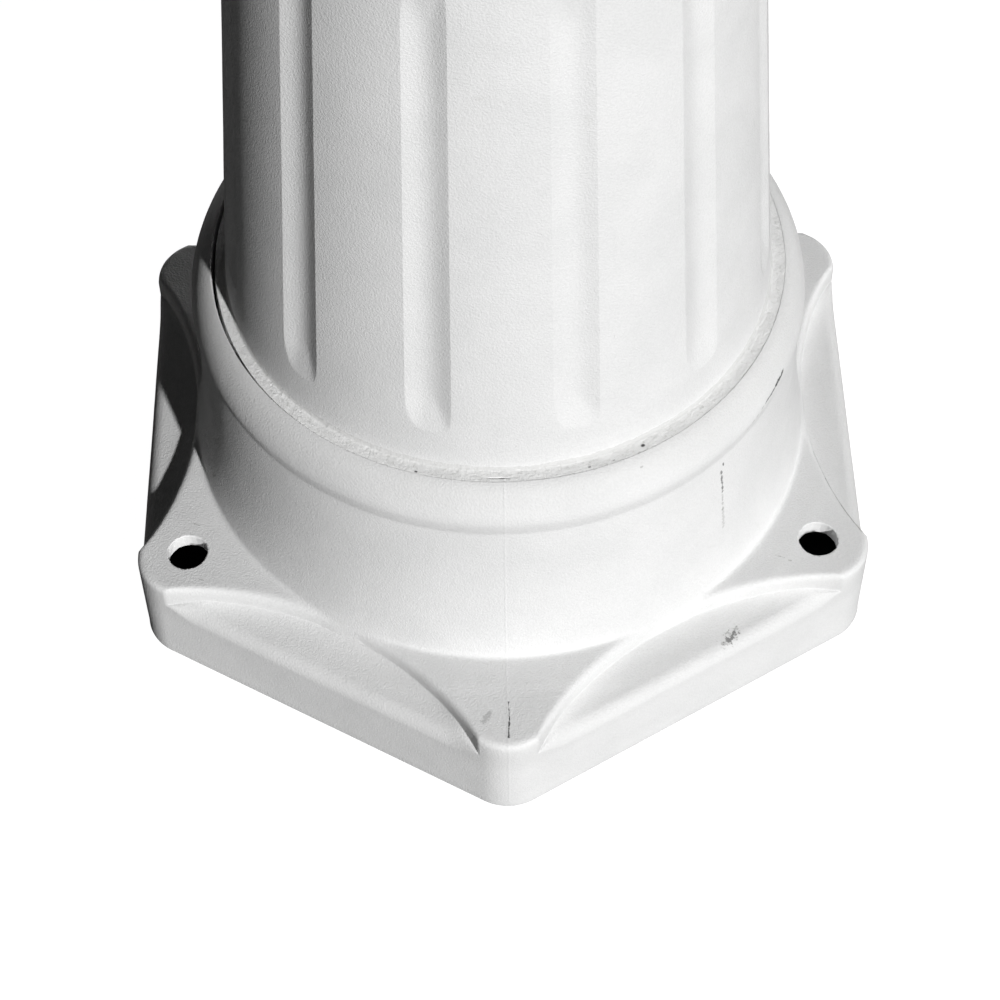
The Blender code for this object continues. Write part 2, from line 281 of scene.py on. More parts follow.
def boolean(piece, cutters):
    """Cut all the cutters' shapes out of the piece and apply the result."""
    for cutter in cutters:
        modifier = piece.modifiers.new(cutter.name, "BOOLEAN")
        modifier.operation = "DIFFERENCE"
        modifier.solver = "MANIFOLD"
        modifier.object = cutter
    graph = bpy.context.evaluated_depsgraph_get()
    mesh = bpy.data.meshes.new_from_object(piece.evaluated_get(graph))
    clear_folds(mesh)
    piece.modifiers.clear()
    old = piece.data
    piece.data = mesh
    bpy.data.meshes.remove(old)
    for cutter in cutters:
        data = cutter.data
        bpy.data.objects.remove(cutter, do_unlink=True)
        bpy.data.meshes.remove(data)


def drill(name, centre, radius, z_low, z_high, ragged=0.0, count=96):
    """A drill to cut with; ragged is how far its wall wanders, millimetres."""
    angles = np.linspace(0.0, 360.0, count, endpoint=False)
    turn = np.radians(angles)
    heights = np.linspace(z_low, z_high, 12)
    profiles = np.zeros((count, len(heights) + 2, 2))
    phases = rng.uniform(0.0, 2.0 * math.pi, size=(4, 2))
    for index, z in enumerate(heights):
        wander = sum(np.sin((k + 2) * turn + phases[k, 0] + z * 0.15) / (k + 2) for k in range(4))
        wander += 0.35 * np.sin(11.0 * turn + phases[0, 1] + 0.9 * z)
        wander += 0.25 * np.sin(19.0 * turn + phases[1, 1])
        profiles[:, index + 1, 0] = radius + ragged * wander
        profiles[:, index + 1, 1] = z
    profiles[:, 0, 1] = z_low
    profiles[:, -1, 1] = z_high
    bm = move(skin(to_space(profiles, angles), False), *centre)
    return finish_mesh(name, bm, None, ())


def circle(count, radius, first=0.0):
    """Centres spread evenly round the axis; first is the first one's direction in degrees."""
    turns = [math.radians(first) + 2.0 * math.pi * index / count for index in range(count)]
    return [(radius * math.cos(turn), radius * math.sin(turn)) for turn in turns]


# ---------------------------------------------------------------- the foot moulding

def wall_radius(angle):
    turn = math.radians(abs(angle))
    reach = INRADIUS - CORNER_R
    if INRADIUS * math.tan(turn) <= reach * math.tan(math.radians(30.0)):
        return INRADIUS / math.cos(turn)
    centre = reach / math.cos(math.radians(30.0))
    off = math.radians(30.0) - turn
    return centre * math.cos(off) + math.sqrt(CORNER_R ** 2 - (centre * math.sin(off)) ** 2)


def scoop_radius(angle):
    centre = SCOOP_MID_R + SCOOP_ARC_R
    turn = math.radians(abs(angle))
    under = SCOOP_ARC_R ** 2 - (centre * math.sin(turn)) ** 2
    wall = wall_radius(angle)
    if under <= 0.0:
        return wall
    return min(wall, centre * math.cos(turn) - math.sqrt(under))


BELL_CURVE = np.polyfit([z for _, z in BELL_PROFILE], [r for r, _ in BELL_PROFILE], 3)


def bell_radius(z):
    return np.polyval(BELL_CURVE, z)


def foot_directions():
    """Directions round the foot: (angle, offset from the middle of its side, distance to the mould seam)."""
    half = np.concatenate([np.arange(0.0, 23.9, 0.5), np.arange(24.0, 30.01, 0.25)])
    sector = np.concatenate([-half[:0:-1], half[:-1]])
    rows = [(60.0 * side + local, local) for side in range(6) for local in sector]
    for seam in (90.0, 270.0):
        for step in (0.07, 0.14, 0.4, 0.6):
            rows += [(seam + step, -30.0 + step), (seam - step, 30.0 - step)]
    return sorted((angle % 360.0, local) for angle, local in rows)


def lower_outside(wall, count):
    edge = arc((wall - BOTTOM_ROUND, BOTTOM_ROUND), BOTTOM_ROUND, -90.0, 0.0, 5)
    heights = np.linspace(BOTTOM_ROUND, LEDGE_Z - LEDGE_ROUND, count)[1:]
    return np.vstack([edge, np.column_stack([np.full(len(heights), wall), heights])])


def floor_height(inward, width):
    """Height of the rounded ledge and scoop floor at a distance in from the wall."""
    edge = LEDGE_ROUND * (0.14 + 0.86 * float(smooth(width / LEDGE_FADE)))
    near = np.minimum(inward, edge)
    round_z = LEDGE_Z - edge + np.sqrt(edge ** 2 - (edge - near) ** 2)
    start = math.exp(-width / FLOOR_RISE_SPAN)
    rise = (np.exp(-(width - inward) / FLOOR_RISE_SPAN) - start) / max(1.0 - start, 1e-6)
    return round_z + FLOOR_RISE * smooth(width / 8.0) * rise


def scoop_floor(wall, width, count):
    if width <= 0.0:
        heights = np.linspace(LEDGE_Z - LEDGE_ROUND, LEDGE_Z, count + 1)[1:]
        return np.column_stack([np.full(count, wall), heights])
    inward = width * np.linspace(0.0, 1.0, 160) ** 2
    line = np.column_stack([wall - inward, floor_height(inward, width)])
    upright = np.linspace(LEDGE_Z - LEDGE_ROUND, line[0, 1], 12, endpoint=False)
    line = np.vstack([np.column_stack([np.full(12, wall), upright]), line])
    return resample(line, count + 1)[1:]


def arch_pad_and_bell(start, width, count):
    """From the foot of the arch up over the lip and the pad, and on to the bell."""
    lip = CORNER_LIP_R + (LIP_R - CORNER_LIP_R) * float(smooth(width / 5.0))
    centre_z = PAD_Z - lip
    rise = np.linspace(start[1], centre_z, 60, endpoint=False)
    over = centre_z + lip * np.sin(np.radians(np.linspace(0.0, 90.0, 80)))
    heights = np.concatenate([rise, over])
    lifted = np.maximum(heights - centre_z, 0.0)
    radii = start[0] - lip + np.sqrt(np.maximum(lip ** 2 - lifted ** 2, 0.0))
    radii = np.maximum(radii, bell_radius(heights))
    upper = np.linspace(PAD_Z, BELL_JOIN_Z + 8.0, 90)
    line = np.vstack([np.column_stack([radii, heights]), np.column_stack([bell_radius(upper), upper])])
    soft = soften(line, 0.12, PAD_SOFTNESS, 2.2)
    over_join = np.nonzero(soft[:, 1] > BELL_JOIN_Z)[0][0]
    return resample(soft[:over_join + 1], count + 1, 1.25)[1:]


def lower_bead(z):
    """The bead below its middle, which draws in slowly until it meets the bell."""
    below = (BEAD_CENTRE[1] - z) / BEAD_LOWER_HEIGHT
    return BEAD_CENTRE[0] + BEAD_R - BEAD_LOWER_DROP * below ** BEAD_LOWER_POWER


def bell_and_bead():
    """The bell from above the pads, then the bead, then down the groove inside the bead."""
    heights = np.concatenate([
        np.linspace(BELL_JOIN_Z + 1.2, BEAD_CREASE_Z - 3.5, 22),
        np.linspace(BEAD_CREASE_Z - 3.0, BEAD_CREASE_Z + 3.0, 25),
        np.linspace(BEAD_CREASE_Z + 3.5, BEAD_CENTRE[1] - 0.5, 6)])
    bell, low = bell_radius(heights), lower_bead(heights)
    outer = 0.5 * (bell + low + np.sqrt((bell - low) ** 2 + BEAD_CREASE ** 2))
    bead = arc((BEAD_CENTRE[0], 0.0), BEAD_R, 0.0, BEAD_HIGH_ANGLE, 44)
    bead[:, 1] = BEAD_CENTRE[1] + BEAD_UPPER_HEIGHT / BEAD_R * bead[:, 1]
    return np.vstack([np.column_stack([outer, heights]), bead, GROOVE_WALL])


def foot_inside(wall, scoop):
    """The shelf that carries the column, then the hollow down to the foot's lower edge."""
    under = SHELF_Z - SHELF_THICKNESS
    line = [
        (91.0, SHELF_Z), (82.0, SHELF_Z), (SHELF_BORE_R + 1.0, SHELF_Z), (SHELF_BORE_R, SHELF_Z - 1.0),
        (SHELF_BORE_R, under + 1.0), (SHELF_BORE_R + 1.0, under), (82.0, under), (90.0, under),
        (94.5, under - 0.4), (96.6, under - 1.8), (97.6, under - 5.0), (98.4, 78.0), (99.2, 70.0),
        (100.2, 60.0), (101.3, 52.0), (102.5, 44.0), (102.9, 40.5), (103.8, 37.0),
    ]
    outer = scoop - WALL - 0.4
    roof_line = [(104.4 + (outer - 104.4) * share, z)
                 for share, z in ((0.5, PAD_Z - WALL), (0.95, PAD_Z - WALL - 0.1))]
    down = [
        (scoop - WALL + 0.3, LEDGE_Z + 0.5 - WALL), (wall - WALL - 1.2, LEDGE_Z - WALL - 0.8),
        (wall - WALL - 0.3, LEDGE_Z - WALL - 2.4), (wall - WALL, 18.0), (wall - WALL, 10.0),
        (wall - WALL, 3.0), (wall - WALL + 0.25, 0.6), (wall - WALL + 0.8, 0.0), (wall - 0.5 * WALL, 0.0),
    ]
    return np.array(line + roof_line + down)


def seam_height(angles, radii):
    """The fine raised line that the two halves of the mould leave, front and back."""
    height = np.zeros_like(radii)
    for seam in (90.0, 270.0):
        away = np.radians(angles - seam)[:, None] * radii
        height += np.exp(-(away / 0.28) ** 2)
    return height


def build_foot():
    rows = foot_directions()
    angles = np.array([row[0] for row in rows])
    profiles = []
    for _, local in rows:
        wall = wall_radius(local)
        scoop = scoop_radius(local)
        width = wall - scoop
        lower = lower_outside(wall, 9)
        floor = scoop_floor(wall, width, 26)
        arch = arch_pad_and_bell(floor[-1], width, 84)
        profiles.append(np.vstack([lower, floor, arch, bell_and_bead(), foot_inside(wall, scoop)]))
    outside = len(lower) + len(floor) + len(arch) + len(bell_and_bead()) - 6
    profiles = np.array(profiles)
    space = to_space(profiles, angles)
    height = unevenness(space, FOOT_RIPPLES)
    height += SEAM_LINE * seam_height(angles, profiles[..., 0])
    lifted = smooth((profiles[..., 1] - 1.0) / 3.0)
    near_wall = smooth((profiles[..., 0] - 120.0) / 5.0)
    height = (height - SKIN_INSET * near_wall) * lifted
    height[:, outside:] = 0.0
    profiles = profiles + profile_normals(profiles) * height[..., None]
    foot = finish_mesh("foot_shell", skin(to_space(profiles, angles), True),
                       "white_polyethylene", ("base_moulding",))
    cutters = []
    for index, angle in enumerate(BOLT_ANGLES):
        turn = math.radians(angle)
        centre = (BOLT_CIRCLE_R * math.cos(turn), BOLT_CIRCLE_R * math.sin(turn))
        cutters.append(drill(f"bolt_drill_{index}", centre, BOLT_HOLE_R, PAD_Z - 14.0, PAD_Z + 4.0, 0.16))
    for index, centre in enumerate(circle(FOOT_SCREW_COUNT, FOOT_SCREW_CIRCLE_R)):
        cutters.append(drill(f"shelf_drill_{index}", centre, FOOT_HOLE_R,
                             SHELF_Z - 9.0, SHELF_Z + 3.0, 0.02, 48))
    boolean(foot, cutters)
    return foot


# ---------------------------------------------------------------- the column

def column_radius(z):
    return COLUMN_R - COLUMN_TAPER * (z - COLUMN_R_Z)


def flute_cut(offset, z):
    """Depth of a flute at an angle from its middle: a shallow bow across, run out at both ends."""
    radius = column_radius(z)
    across = abs(math.sin(math.radians(offset))) / math.sin(math.radians(FLUTE_HALF_ANGLE))
    below = np.maximum(0.0, FLUTE_LOW_Z + FLUTE_END - z)
    above = np.maximum(0.0, z - FLUTE_HIGH_Z + FLUTE_END)
    along = (below + above) / FLUTE_END
    power = FLUTE_END_POWERS[0] if offset < 0.0 else FLUTE_END_POWERS[1]
    away = np.minimum((across ** power + along ** power) ** (1.0 / power), 1.0)
    inside = 1.0 - away ** 2
    bow = FLUTE_CRISPNESS * inside + (1.0 - FLUTE_CRISPNESS) * inside ** 2
    return FLUTE_DEPTH * radius / COLUMN_R * bow


def column_directions():
    """Directions round the column: (angle, offset from the middle of its flute)."""
    inside = FLUTE_HALF_ANGLE * np.sin(np.radians(np.linspace(-90.0, 90.0, 27)))
    land = FLUTE_HALF_ANGLE + np.array([0.12, 0.4, 1.0, 2.2, 3.8, 5.4, 7.0, 8.6])
    one = np.concatenate([-land[::-1], inside, land, [15.0]])
    middles = FLUTE_OFFSET + 360.0 / FLUTES * np.arange(FLUTES)
    return np.array([(middle + offset, offset) for middle in middles for offset in one])


def column_heights():
    low_end = np.arange(FLUTE_LOW_Z - 1.0, FLUTE_LOW_Z + FLUTE_END + 1.0, 0.5)
    high_end = np.arange(FLUTE_HIGH_Z - FLUTE_END - 1.0, FLUTE_HIGH_Z + 1.0, 0.5)
    middle = np.linspace(low_end[-1] + 2.0, high_end[0] - 2.0, 40)
    foot = [94.8, 100.0, 108.0, 116.0, 121.0, 124.0, 127.0, 130.0, 133.0, 136.0]
    return np.concatenate([foot, low_end, middle, high_end, [315.0, 318.5, 321.5]])


def build_column():
    grid = column_directions()
    angles, offsets = grid[:, 0], grid[:, 1]
    heights = column_heights()
    foot_z = SHELF_Z + GAP
    flange_z = foot_z + COLUMN_FOOT_FLANGE
    under_z = COLUMN_TOP_Z - DECK_THICKNESS
    bore_top = column_radius(under_z) - COLUMN_SKIN
    bore_low = column_radius(flange_z) - COLUMN_SKIN
    inner = [(0.0, under_z), (20.0, under_z), (42.0, under_z), (50.0, under_z), (bore_top - 9.0, under_z),
             (bore_top - 4.5, under_z - 1.0), (bore_top - 1.2, under_z - 4.5), (bore_top, under_z - 9.0)]
    shaft = [(column_radius(z) - COLUMN_SKIN, z) for z in np.linspace(under_z - 40.0, flange_z + 12.0, 7)]
    foot = [(bore_low - 0.4, flange_z + 3.0), (bore_low - 2.5, flange_z + 0.4), (bore_low - 5.0, flange_z),
            (SHELF_BORE_R + 0.8, flange_z), (SHELF_BORE_R, flange_z - 0.8), (SHELF_BORE_R, foot_z + 0.8),
            (SHELF_BORE_R + 0.8, foot_z), (82.0, foot_z), (column_radius(foot_z) - 1.0, foot_z)]
    lead = np.array(inner + shaft + foot)
    edge = arc((column_radius(COLUMN_TOP_Z) - 5.0, COLUMN_TOP_Z - 5.0), 5.0, 4.0, 90.0, 14)
    deck = np.array([(r, COLUMN_TOP_Z) for r in (66.5, 62.0, 55.0, 46.0, 36.0, 26.0, 16.0, 7.0, 0.0)])
    profiles = []
    for offset in offsets:
        outer = np.column_stack([column_radius(heights) - flute_cut(offset, heights), heights])
        profiles.append(np.vstack([lead, outer, edge, deck]))
    profiles = np.array(profiles)
    space = to_space(profiles, angles)
    height = unevenness(space, COLUMN_RIPPLES)
    height += SEAM_LINE * seam_height(angles, profiles[..., 0])
    height *= smooth((COLUMN_TOP_Z - 0.5 - profiles[..., 1]) / 4.0)
    height -= 0.02
    height[:, :len(lead)] = 0.0
    height[:, -1] = 0.0
    profiles = profiles + profile_normals(profiles) * height[..., None]
    profiles[:, -1, 0] = 0.0
    column = finish_mesh("column_shell", skin(to_space(profiles, angles), False),
                         "column_polyethylene", ("fluted_column",))
    cutters = []
    for index, centre in enumerate(circle(FOOT_SCREW_COUNT, FOOT_SCREW_CIRCLE_R)):
        cutters.append(drill(f"flange_drill_{index}", centre, FOOT_HOLE_R,
                             foot_z - 2.0, flange_z + 2.0, 0.02, 48))
    for index, centre in enumerate(circle(PLATE_SCREW_COUNT, PLATE_SCREW_CIRCLE_R, PLATE_SCREW_START)):
        cutters.append(drill(f"deck_drill_{index}", centre, PLATE_HOLE_R, under_z - 2.0,
                             under_z + PLATE_BLIND_DEPTH, 0.02, 48))
    boolean(column, cutters)
    return column


# ---------------------------------------------------------------- sealant

SEALANT_TOP = np.array([
    (96.75, 122.9), (96.68, 123.04), (96.2, 123.08), (95.2, 123.06), (94.2, 123.08), (93.4, 123.12),
    (92.8, 123.2), (92.35, 123.36), (92.0, 123.65), (91.75, 124.05), (91.5, 124.8)])
SEALANT_UNDER = ((124.9, -0.3), (119.0, -0.1), (113.0, -0.1))
SEALANT_SIDE = ((95.3, 113.0), (95.9, 117.5), (96.3, 121.6))
SEALANT_WIDTH = 5.3
SEALANT_GROOVE_Z = (118.5, 121.5)

# Where the sealant has drawn back from the collar: direction in degrees and width in millimetres
SEALANT_GAP = (
    (0.0, 0.0), (118.0, 0.0), (135.0, 0.9), (160.0, 1.6), (180.0, 1.8), (194.0, 1.6), (206.0, 1.1),
    (216.0, 0.7), (226.0, 0.42), (240.0, 0.3), (252.0, 0.24), (262.0, 0.18), (275.0, 0.0), (360.0, 0.0))
SEALANT_NICK = {"middle": 269.0, "half": 1.7, "radius": 95.0, "depth": 0.55}


def build_sealant():
    """The strip in the groove, drawn back from the collar on one side and pitted on top."""
    angles = np.linspace(0.0, 360.0, 900, endpoint=False)
    top = resample(SEALANT_TOP, 44)
    under = np.array([(column_radius(z) + step, z) for z, step in SEALANT_UNDER] + list(SEALANT_SIDE))
    profiles = np.repeat(np.vstack([top, under])[None], len(angles), axis=0)
    column = column_radius(profiles[..., 1])
    gap = np.interp(angles, *zip(*SEALANT_GAP))[:, None]
    low, high = SEALANT_GROOVE_Z
    gap = gap * smooth((profiles[..., 1] - low) / (high - low))
    profiles[..., 0] = column + (profiles[..., 0] - column) * (1.0 - gap / SEALANT_WIDTH)
    space = to_space(profiles, angles)
    rough = np.zeros(profiles.shape[:2])
    for i in range(len(angles)):
        for j in range(1, len(top) - 1):
            place = Vector(space[i, j])
            rough[i, j] = 0.09 * noise.noise(place / 1.0) + 0.07 * noise.noise(place / 3.0)
            rough[i, j] -= 0.6 * max(0.0, noise.noise(place / 1.9) - 0.5)
            away = (angles[i] - SEALANT_NICK["middle"]) / SEALANT_NICK["half"]
            across = (profiles[i, j, 0] - SEALANT_NICK["radius"]) / 0.22
            rough[i, j] -= SEALANT_NICK["depth"] * math.exp(-away ** 4 - across ** 2)
    drift = 0.22 * ripple(ripple_waves(10, 18.0, 70.0), space)
    rise = np.linspace(0.0, 1.0, len(top)) ** 2
    profiles[:, :len(top), 1] += drift[:, :len(top)] * rise
    profiles = profiles + profile_normals(profiles) * rough[..., None]
    return finish_mesh("sealant_ring", skin(to_space(profiles, angles), True),
                       "white_sealant", ("seam_sealant",))


# ---------------------------------------------------------------- metal parts

def star(turn, outer, inner):
    """Wall of a six-lobed driver recess."""
    return inner + (outer - inner) * (0.5 + 0.5 * np.cos(6.0 * turn)) ** 0.8


def build_screw(name, centre, bearing_z, tip_z, size, slot):
    """A pan-head tapping screw that points up, with its thread and its six-lobed recess."""
    count = 48
    angles = np.linspace(0.0, 360.0, count, endpoint=False)
    turn = np.radians(angles)
    head, tall, shank, pitch = size["head"], size["height"], size["shank"], size["pitch"]
    low = bearing_z - tall
    floor = low + 0.5 * tall
    lobes = star(turn, 0.46 * head, 0.33 * head)
    rows = [(np.zeros(count), floor - 0.25), (0.5 * lobes, floor), (0.97 * lobes, floor),
            (lobes, floor - 0.15), (lobes, low + 0.25), (1.05 * lobes + 0.1, low)]
    dome = arc((0.0, 0.0), 1.0, 90.0, 0.0, 12)[2:]
    rows.append((np.full(count, 0.62 * head), low))
    rows += [(np.full(count, head * (0.62 + 0.38 * x)), bearing_z - 0.22 * tall - (0.78 * tall) * y)
             for x, y in dome]
    rows += [(np.full(count, head), bearing_z - 0.1), (np.full(count, head - 0.12), bearing_z)]
    rows += [(np.full(count, shank + 0.25), bearing_z), (np.full(count, 0.86 * shank), bearing_z + 0.3)]
    steps = int((tip_z - bearing_z - 0.8) / (pitch / 9.0))
    for z in np.linspace(bearing_z + 0.6, tip_z - 0.15, steps):
        phase = ((z - bearing_z) / pitch - turn / (2.0 * math.pi)) % 1.0
        ridge = np.clip(1.0 - np.abs(phase - 0.5) * 3.4, 0.0, 1.0)
        fade = float(smooth((z - bearing_z - 0.6) / 1.2))
        point = 1.0 - 0.55 * float(smooth((z - tip_z + 2.6) / 2.6))
        rows.append((point * shank * (0.74 + 0.26 * ridge * fade + 0.12 * (1.0 - fade)), z))
    rows.append((np.zeros(count), tip_z))
    profiles = np.array([[(radius[i], z) for radius, z in rows] for i in range(count)])
    bm = move(skin(to_space(profiles, angles), False), *centre)
    return finish_mesh(name + "_fine", bm, slot, (name,))


def lathe(name, profile, count, centre, slot, replaced):
    angles = np.linspace(0.0, 360.0, count, endpoint=False)
    profiles = np.repeat(np.array(profile, float)[None], count, axis=0)
    bm = move(skin(to_space(profiles, angles), True), *centre)
    return finish_mesh(name, bm, slot, replaced)


def build_washer(name, centre, top_z):
    low = top_z - WASHER_THICKNESS
    profile = [(FOOT_HOLE_R, low + 0.2), (FOOT_HOLE_R + 0.2, low), (WASHER_R - 0.45, low),
               (WASHER_R - 0.12, low + 0.12), (WASHER_R, low + 0.45), (WASHER_R, top_z - 0.25),
               (WASHER_R - 0.2, top_z), (FOOT_HOLE_R + 0.3, top_z), (FOOT_HOLE_R, top_z - 0.3)]
    return lathe(name + "_fine", profile, 64, centre, "washer_stainless", (name,))


def build_plate():
    top_z = COLUMN_TOP_Z - DECK_THICKNESS - GAP
    low_z = top_z - PLATE_THICKNESS
    angles = np.linspace(0.0, 360.0, 144, endpoint=False)
    profile = [(0.0, low_z), (20.0, low_z), (40.0, low_z), (PLATE_R - 0.8, low_z),
               (PLATE_R - 0.25, low_z + 0.25), (PLATE_R, low_z + 0.8), (PLATE_R, top_z - 0.8),
               (PLATE_R - 0.25, top_z - 0.25), (PLATE_R - 0.8, top_z), (30.0, top_z), (0.0, top_z)]
    profiles = np.repeat(np.array(profile)[None], len(angles), axis=0)
    plate = finish_mesh("plate_fine", skin(to_space(profiles, angles), False),
                        "plate_aluminium", ("backing_plate",))
    cutters = []
    for index, centre in enumerate(circle(PLATE_SCREW_COUNT, PLATE_SCREW_CIRCLE_R, PLATE_SCREW_START)):
        cutters.append(drill(f"plate_drill_{index}", centre, PLATE_HOLE_R, low_z - 2.0, top_z + 2.0, 0.0, 48))
    boolean(plate, cutters)
    return plate


def build_fixings():
    """The screws and washers, each in the place of its CAD solid."""
    pieces = {"screw": [], "washer": []}
    washer_top = SHELF_Z - SHELF_THICKNESS - GAP
    bearing = washer_top - WASHER_THICKNESS - GAP
    for index, centre in enumerate(circle(FOOT_SCREW_COUNT, FOOT_SCREW_CIRCLE_R)):
        pieces["washer"].append(build_washer(f"foot_washer_{index + 1}", centre, washer_top))
        pieces["screw"].append(build_screw(f"foot_screw_{index + 1}", centre, bearing, FOOT_SCREW_TIP_Z,
                                           FOOT_SCREW, "screw_stainless"))
    bearing = COLUMN_TOP_Z - DECK_THICKNESS - 2.0 * GAP - PLATE_THICKNESS
    tip_z = COLUMN_TOP_Z - DECK_THICKNESS + PLATE_SCREW_BITE
    for index, centre in enumerate(circle(PLATE_SCREW_COUNT, PLATE_SCREW_CIRCLE_R, PLATE_SCREW_START)):
        pieces["screw"].append(build_screw(f"plate_screw_{index + 1}", centre, bearing, tip_z,
                                           PLATE_SCREW, "screw_stainless"))
    return pieces


# ---------------------------------------------------------------- materials

class Shader:
    """A small helper that adds nodes to one material."""

    def __init__(self, name):
        self.material = bpy.data.materials.new(name)
        self.material.use_nodes = True
        self.tree = self.material.node_tree
        self.principled = self.tree.nodes["Principled BSDF"]
        self.place = self.node("ShaderNodeTexCoord").outputs["Object"]

    def node(self, kind, **values):
        node = self.tree.nodes.new(kind)
        for key, value in values.items():
            setattr(node, key, value)
        return node

    def link(self, source, node, socket):
        target = node.inputs[socket]
        if isinstance(source, (int, float)):
            target.default_value = source
        elif isinstance(source, tuple):
            target.default_value = source if len(source) == len(target.default_value) else (*source, 1.0)
        else:
            self.tree.links.new(source, target)

    def noise(self, scale, detail=2.0, rough=0.5, place=None, distortion=0.0):
        node = self.node("ShaderNodeTexNoise")
        self.link(place or self.place, node, "Vector")
        node.inputs["Scale"].default_value = scale
        node.inputs["Detail"].default_value = detail
        node.inputs["Roughness"].default_value = rough
        node.inputs["Distortion"].default_value = distortion
        return node.outputs["Fac"]

    def remap(self, source, low, high, to_low, to_high):
        node = self.node("ShaderNodeMapRange", interpolation_type="SMOOTHSTEP")
        self.link(source, node, "Value")
        for key, value in zip(("From Min", "From Max", "To Min", "To Max"), (low, high, to_low, to_high)):
            node.inputs[key].default_value = value
        return node.outputs["Result"]

    def math(self, operation, first, second=0.0):
        node = self.node("ShaderNodeMath", operation=operation)
        self.link(first, node, 0)
        self.link(second, node, 1)
        return node.outputs[0]

    def mix(self, share, first, second):
        node = self.node("ShaderNodeMix", data_type="RGBA")
        self.link(share, node, "Factor")
        for value, socket in ((first, 6), (second, 7)):
            if isinstance(value, tuple):
                node.inputs[socket].default_value = (*value, 1.0)
            else:
                self.tree.links.new(value, node.inputs[socket])
        return node.outputs[2]

    def band(self, low, full, fading, high, share):
        """Share of a band round the part, between two heights in millimetres, that fades at both edges."""
        split = self.node("ShaderNodeSeparateXYZ")
        self.link(self.place, split, "Vector")
        rise = self.remap(split.outputs["Z"], low * MM, full * MM, 0.0, share)
        fall = self.remap(split.outputs["Z"], fading * MM, high * MM, 1.0, 0.0)
        return self.math("MULTIPLY", rise, fall)

    def bump(self, height, distance, before=None):
        node = self.node("ShaderNodeBump")
        node.inputs["Strength"].default_value = 1.0
        node.inputs["Distance"].default_value = distance * MM
        self.link(height, node, "Height")
        if before is not None:
            self.link(before, node, "Normal")
        return node.outputs["Normal"]

    def finish(self, colour, roughness, normal, metallic=0.0, specular=0.5):
        self.link(colour, self.principled, "Base Color")
        self.link(roughness, self.principled, "Roughness")
        self.link(normal, self.principled, "Normal")
        self.principled.inputs["Metallic"].default_value = metallic
        self.principled.inputs["Specular IOR Level"].default_value = specular
        return self.material


def mark(shader, start, end, width, wobble=0.3):
    """Share of a stroke between two points in millimetres: 1 on it and 0 off it, with a ragged edge."""
    start, end = Vector(start) * MM, Vector(end) * MM
    along = end - start
    offset = shader.node("ShaderNodeVectorMath", operation="SUBTRACT")
    shader.tree.links.new(shader.place, offset.inputs[0])
    offset.inputs[1].default_value = start
    dot = shader.node("ShaderNodeVectorMath", operation="DOT_PRODUCT")
    shader.tree.links.new(offset.outputs[0], dot.inputs[0])
    dot.inputs[1].default_value = along / along.length_squared
    share = shader.node("ShaderNodeClamp")
    shader.tree.links.new(dot.outputs["Value"], share.inputs["Value"])
    nearest = shader.node("ShaderNodeVectorMath", operation="SCALE")
    nearest.inputs[0].default_value = along
    shader.tree.links.new(share.outputs[0], nearest.inputs["Scale"])
    away = shader.node("ShaderNodeVectorMath", operation="DISTANCE")
    shader.tree.links.new(offset.outputs[0], away.inputs[0])
    shader.tree.links.new(nearest.outputs[0], away.inputs[1])
    uneven = shader.math("SUBTRACT", shader.noise(700.0, 2.0, 0.6), 0.5)
    ragged = shader.math("MULTIPLY", uneven, 2.6 * wobble * MM)
    distance = shader.math("ADD", away.outputs["Value"], ragged)
    return shader.remap(distance, 0.4 * width * MM, 1.1 * width * MM, 1.0, 0.0)


def round_place(angle, radius, z):
    turn = math.radians(angle)
    return (radius * math.cos(turn), radius * math.sin(turn), z)


def bell_place(angle, z):
    return round_place(angle, bell_radius(z), z)


